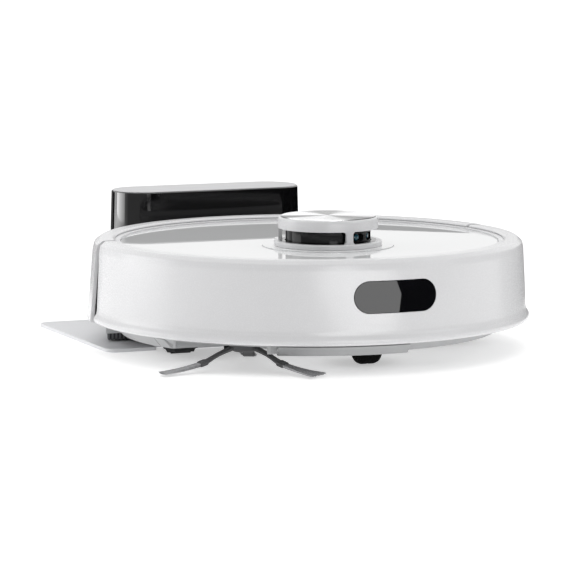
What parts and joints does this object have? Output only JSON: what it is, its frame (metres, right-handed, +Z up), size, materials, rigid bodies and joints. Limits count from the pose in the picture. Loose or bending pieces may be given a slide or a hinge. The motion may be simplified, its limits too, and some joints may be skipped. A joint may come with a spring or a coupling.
{
  "type": "robot vacuum",
  "caption": "Round robot vacuum with a lidar turret, sprung bumper, side brush and mop, parked on a low dock with an upright charging tower and a floor mat.",
  "frame": {"origin": "on the floor, under the centre of the whole assembly (robot and dock)", "axes": "+Z up; the robot faces -Y, its right side is -X, and the dock stands behind it at +Y"},
  "size_m": [0.35, 0.434, 0.1078],
  "materials": {
    "white_shell": "satin",
    "white_gloss": "high gloss",
    "grey_underside": "fine texture",
    "inner_grey": "matte",
    "black_gloss": "high gloss",
    "black_matte": "fine texture",
    "smoked_window": "polished",
    "tyre_rubber": "matte",
    "brush_rubber": "matte",
    "side_bristle": "matte",
    "belt_rubber": "matte",
    "steel": "brushed",
    "spun_aluminium": "radially brushed",
    "brass": "polished",
    "circuit_board": "solder mask",
    "battery_wrap": "shrink film",
    "filter_paper": "pleated",
    "mop_fabric": "ribbed microfibre",
    "dock_grey": "satin",
    "mat_white": "satin"
  },
  "bodies": {
    "robot": {"chassis": "grey_underside", "upper_deck": "white_shell", "rear_shell": "white_shell", "charge_contact_right": "steel", "charge_contact_left": "steel", "turret_skirt": "white_gloss", "turret_cap": "white_shell", "turret_disc": "spun_aluminium", "lidar_base": "black_matte", "lidar_motor": "steel", "lidar_belt": "belt_rubber", "sensor_module": "black_matte", "bumper_switch_right": "black_matte", "bumper_switch_left": "black_matte", "main_board": "circuit_board", "battery": "battery_wrap", "speaker": "black_matte", "fan_housing": "black_matte", "main_brush_motor": "black_matte", "brush_bay": "inner_grey", "brush_guard": "inner_grey", "side_brush_motor": "black_matte"},
    "bumper": {"bumper": "white_shell", "bumper_window": "smoked_window"},
    "lidar_head": {"lidar_head": "black_gloss"},
    "lidar_pulley": {"lidar_pulley": "brass"},
    "top_cover": {"top_cover": "white_gloss"},
    "dustbin": {"dustbin": "inner_grey", "dustbin_lid": "inner_grey", "dustbin_filter": "filter_paper"},
    "power_button": {"power_button": "white_gloss"},
    "home_button": {"home_button": "white_gloss"},
    "fan_impeller": {"fan_impeller": "inner_grey"},
    "main_brush": {"main_brush": "brush_rubber"},
    "side_brush": {"side_brush_hub": "black_matte", "side_brush_arm_1": "side_bristle", "side_brush_arm_2": "side_bristle", "side_brush_arm_3": "side_bristle"},
    "castor_fork": {"castor_fork": "black_matte"},
    "castor_wheel": {"castor_wheel": "black_matte"},
    "wheel_arm_right": {"wheel_arm_right": "black_matte", "wheel_motor_right": "steel"},
    "wheel_arm_left": {"wheel_arm_left": "black_matte", "wheel_motor_left": "steel"},
    "drive_wheel_right": {"wheel_hub_right": "inner_grey", "tyre_right": "tyre_rubber"},
    "drive_wheel_left": {"wheel_hub_left": "inner_grey", "tyre_left": "tyre_rubber"},
    "mop": {"mop_bracket": "grey_underside", "mop_cloth": "mop_fabric"},
    "dock": {"dock_base": "black_matte", "dock_mat": "mat_white", "dock_front_shell": "black_gloss", "dock_rear_shell": "black_gloss", "dock_top_cap": "dock_grey", "dock_inlet": "black_matte", "dock_nose": "black_gloss", "dock_power_board": "circuit_board"},
    "dock_contact_right": {"dock_contact_right": "steel"},
    "dock_contact_left": {"dock_contact_left": "steel"}
  },
  "joints": [
    {"name": "bumper_press", "type": "slide", "parent": "robot", "child": "bumper", "axis": [0, 1, 0], "range_m": [0, 0.003], "stiffness_N_per_m": 500},
    {"name": "lidar_spin", "type": "hinge", "parent": "robot", "child": "lidar_head", "pos_m": [0, -0.0795, 0.093], "axis": [0, 0, 1], "continuous": true},
    {"name": "lidar_pulley_spin", "type": "hinge", "parent": "robot", "child": "lidar_pulley", "pos_m": [0.046, -0.0795, 0.068], "axis": [0, 0, 1], "continuous": true},
    {"name": "main_brush_spin", "type": "hinge", "parent": "robot", "child": "main_brush", "pos_m": [0, -0.0495, 0.0218], "axis": [1, 0, 0], "continuous": true},
    {"name": "side_brush_spin", "type": "hinge", "parent": "robot", "child": "side_brush", "pos_m": [-0.098, -0.1475, 0.017], "axis": [0, 0, 1], "continuous": true},
    {"name": "wheel_drop_right", "type": "hinge", "parent": "robot", "child": "wheel_arm_right", "pos_m": [-0.0945, -0.0915, 0.04], "axis": [-1, 0, 0], "range_deg": [0, 22], "stiffness_Nm_per_rad": 0.3, "springref_deg": 22},
    {"name": "wheel_spin_right", "type": "hinge", "parent": "wheel_arm_right", "child": "drive_wheel_right", "pos_m": [-0.113, -0.0455, 0.035], "axis": [1, 0, 0], "continuous": true},
    {"name": "wheel_drop_left", "type": "hinge", "parent": "robot", "child": "wheel_arm_left", "pos_m": [0.0945, -0.0915, 0.04], "axis": [-1, 0, 0], "range_deg": [0, 22], "stiffness_Nm_per_rad": 0.3, "springref_deg": 22},
    {"name": "wheel_spin_left", "type": "hinge", "parent": "wheel_arm_left", "child": "drive_wheel_left", "pos_m": [0.113, -0.0455, 0.035], "axis": [1, 0, 0], "continuous": true},
    {"name": "castor_swivel", "type": "hinge", "parent": "robot", "child": "castor_fork", "pos_m": [0, -0.1465, 0.03], "axis": [0, 0, 1], "continuous": true},
    {"name": "castor_roll", "type": "hinge", "parent": "castor_fork", "child": "castor_wheel", "pos_m": [0, -0.1545, 0.016], "axis": [1, 0, 0], "continuous": true},
    {"name": "fan_spin", "type": "hinge", "parent": "robot", "child": "fan_impeller", "pos_m": [0.084, 0.0435, 0.046], "axis": [1, 0, 0], "continuous": true},
    {"name": "cover_lift", "type": "slide", "parent": "robot", "child": "top_cover", "axis": [0, 0, 1], "range_m": [0, 0.2]},
    {"name": "dustbin_lift", "type": "slide", "parent": "robot", "child": "dustbin", "axis": [0, 0, 1], "range_m": [0, 0.1]},
    {"name": "power_button_press", "type": "slide", "parent": "robot", "child": "power_button", "axis": [0, 0, -1], "range_m": [0, 0.001], "stiffness_N_per_m": 300},
    {"name": "home_button_press", "type": "slide", "parent": "robot", "child": "home_button", "axis": [0, 0, -1], "range_m": [0, 0.001], "stiffness_N_per_m": 300},
    {"name": "mop_slide", "type": "slide", "parent": "robot", "child": "mop", "axis": [0, 1, 0], "range_m": [0, 0.03]},
    {"name": "undock", "type": "slide", "parent": "robot", "child": "dock", "axis": [0, 1, 0], "range_m": [0, 0.3]},
    {"name": "dock_contact_press_right", "type": "slide", "parent": "dock", "child": "dock_contact_right", "axis": [0, 1, 0], "range_m": [0, 0.002], "stiffness_N_per_m": 300},
    {"name": "dock_contact_press_left", "type": "slide", "parent": "dock", "child": "dock_contact_left", "axis": [0, 1, 0], "range_m": [0, 0.002], "stiffness_N_per_m": 300}
  ],
  "couplings": [
    {"joint": "lidar_pulley_spin", "follows": "lidar_spin", "ratio": 4},
    {"joint": "dustbin_lift", "follows": "cover_lift", "ratio": 0.5}
  ]
}
